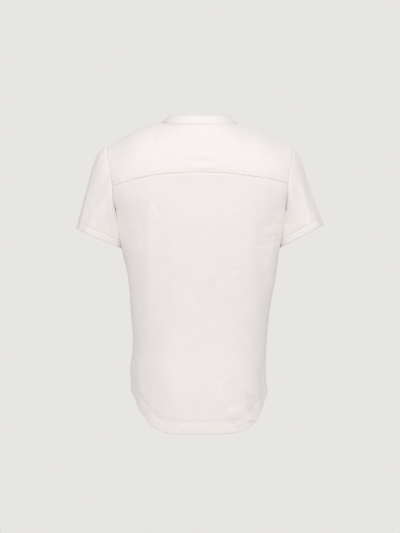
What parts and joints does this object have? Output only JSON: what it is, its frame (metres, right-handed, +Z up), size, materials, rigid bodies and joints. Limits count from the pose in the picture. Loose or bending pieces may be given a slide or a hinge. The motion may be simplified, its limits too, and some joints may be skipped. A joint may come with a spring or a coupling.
{
  "type": "short-sleeve henley",
  "caption": "Collarless short-sleeve linen shirt with back yoke, stand neckband, buttoned half placket and shirt-tail hem, filled out as worn.",
  "frame": {"origin": "midway between the high points of the shoulders, at the sides of the neck, where the wearer carries the garment", "axes": "+Z up, the front faces -Y, +X towards the wearer's left"},
  "size_m": [0.5876, 0.2461, 0.7437],
  "materials": {
    "linen": "washed off-white linen, plain weave, matt",
    "button": "satin, pale horn colour"
  },
  "bodies": {
    "root": {"back": "linen", "front": "linen", "yoke": "linen", "sleeve_left": "linen", "sleeve_right": "linen", "neckband": "linen", "placket_under": "linen", "placket_over": "linen", "button_1": "button", "button_2": "button", "button_3": "button"}
  },
  "joints": []
}
